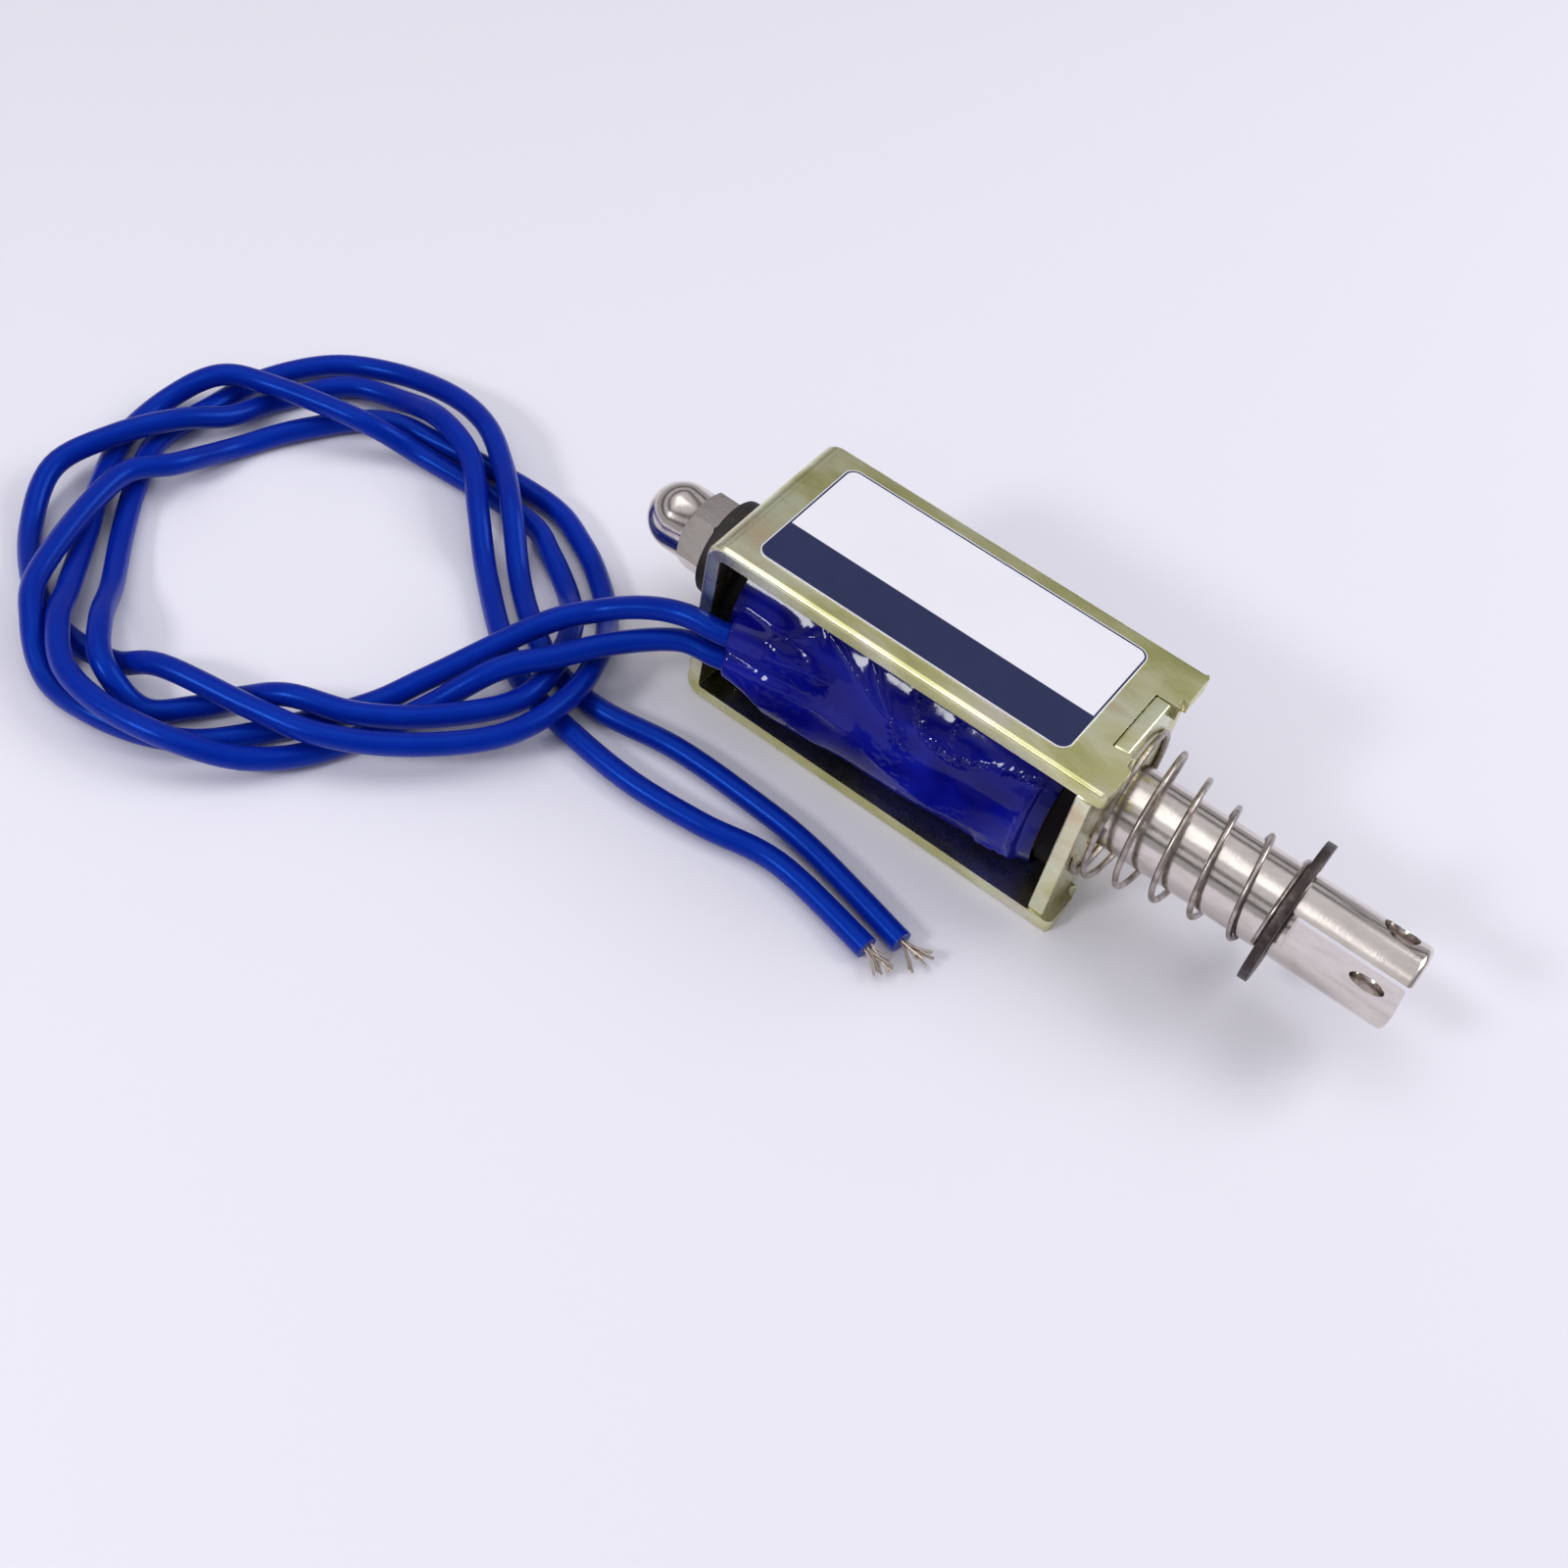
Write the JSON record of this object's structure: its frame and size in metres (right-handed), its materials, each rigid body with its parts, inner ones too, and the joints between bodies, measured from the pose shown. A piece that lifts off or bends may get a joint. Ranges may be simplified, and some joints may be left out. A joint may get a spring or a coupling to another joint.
{
  "type": "push pull solenoid",
  "caption": "Open-frame push-pull solenoid with a clevis plunger, conical return spring, e-clip, push rod with cap nut and two loosely coiled blue leads.",
  "frame": {"origin": "middle of the two tapped mounting holes, on the underside of the frame", "axes": "+X along the plunger towards the clevis, +Z towards the label"},
  "size_m": [0.101, 0.0453, 0.0157],
  "materials": {
    "zinc": "yellow chromated zinc",
    "label": "satin label film",
    "bobbin": "moulded nylon",
    "copper": "enamelled copper wire",
    "film": "wrinkled insulating film",
    "brass": "drawn tube",
    "steel": "turned steel",
    "wire": "spring wire",
    "oxide": "dark oxide",
    "nickel": "nickel plate",
    "rubber": "moulded rubber",
    "lead": "PVC insulation",
    "tinned": "tinned copper strands"
  },
  "bodies": {
    "frame": {"yoke_frame": "zinc", "front_plate": "zinc", "label": "label", "bobbin": "bobbin", "coil_winding": "copper", "coil_wrap": "film", "guide_tube": "brass", "fixed_pole": "steel", "return_spring": "wire", "lead_a": "lead", "lead_b": "lead", "lead_a_strands": "tinned", "lead_b_strands": "tinned"},
    "clip": {"e_clip": "oxide"},
    "plunger": {"plunger": "nickel", "push_rod": "nickel", "bumper": "rubber", "cap_nut": "nickel"}
  },
  "joints": [
    {"name": "plunger_slide", "type": "slide", "parent": "frame", "child": "clip", "axis": [-1, 0, 0], "range_m": [0, 0.01], "stiffness_N_per_m": 110, "springref_m": -0.004, "deforming": ["return_spring"]},
    {"name": "plunger_turn", "type": "hinge", "parent": "clip", "child": "plunger", "pos_m": [0.0285, 0, 0.0078], "axis": [1, 0, 0], "continuous": true}
  ]
}
